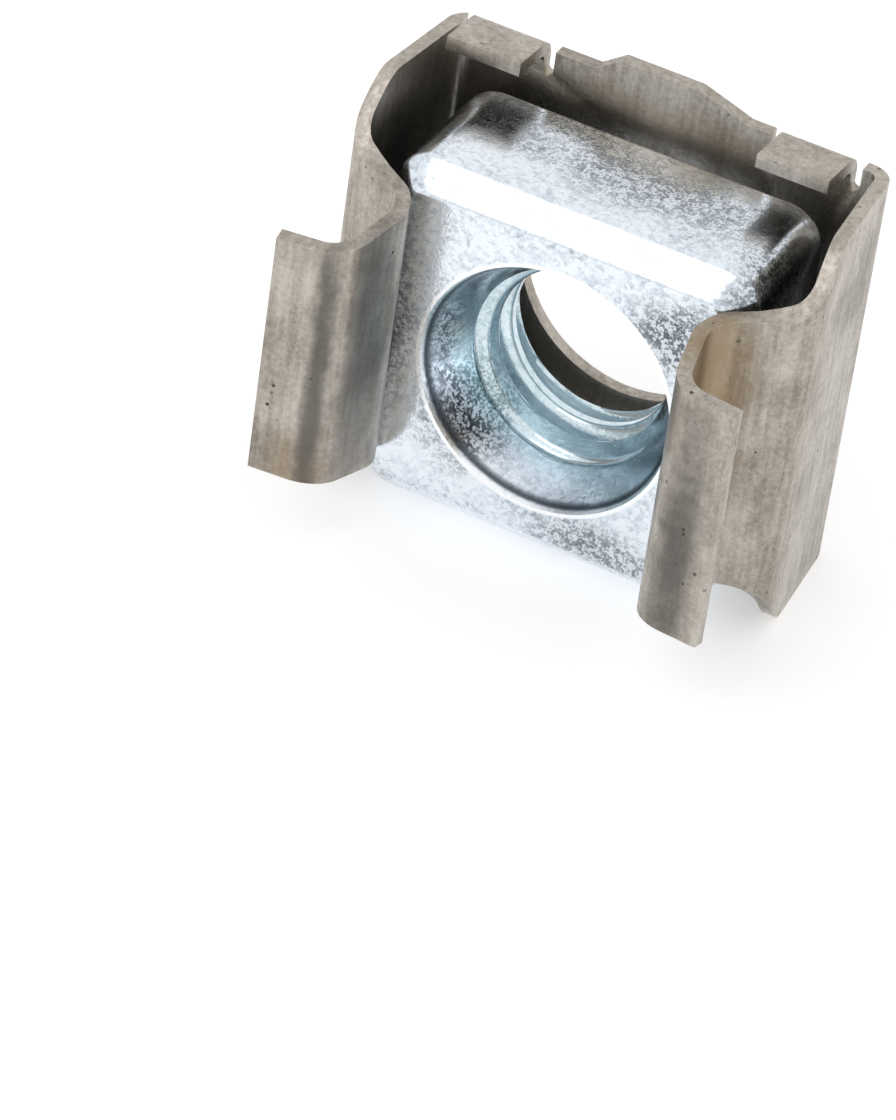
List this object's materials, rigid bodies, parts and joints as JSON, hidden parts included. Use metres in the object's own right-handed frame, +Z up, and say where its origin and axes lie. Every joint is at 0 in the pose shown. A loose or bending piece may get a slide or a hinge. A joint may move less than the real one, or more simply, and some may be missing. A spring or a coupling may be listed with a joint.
{
  "type": "rack cage nut",
  "caption": "Square nut held loosely in a folded spring steel cage with two sprung legs that clip into a square hole of a rack rail.",
  "frame": {"origin": "middle of the nut's bore, on its axis", "axes": "+Y along the thread towards the back plate of the cage, so the legs point to -Y; +X towards the right-hand leg; +Z up, parallel to the folds of the sheet"},
  "size_m": [0.0138, 0.0095, 0.0127],
  "materials": {
    "spring_steel": "plated spring steel, satin, with fine streaks and small dark pits",
    "zinc_plate": "bright bluish zinc plating with a faint crystalline mottle"
  },
  "bodies": {
    "root": {"cage": "spring_steel", "nut": "zinc_plate"}
  },
  "joints": []
}
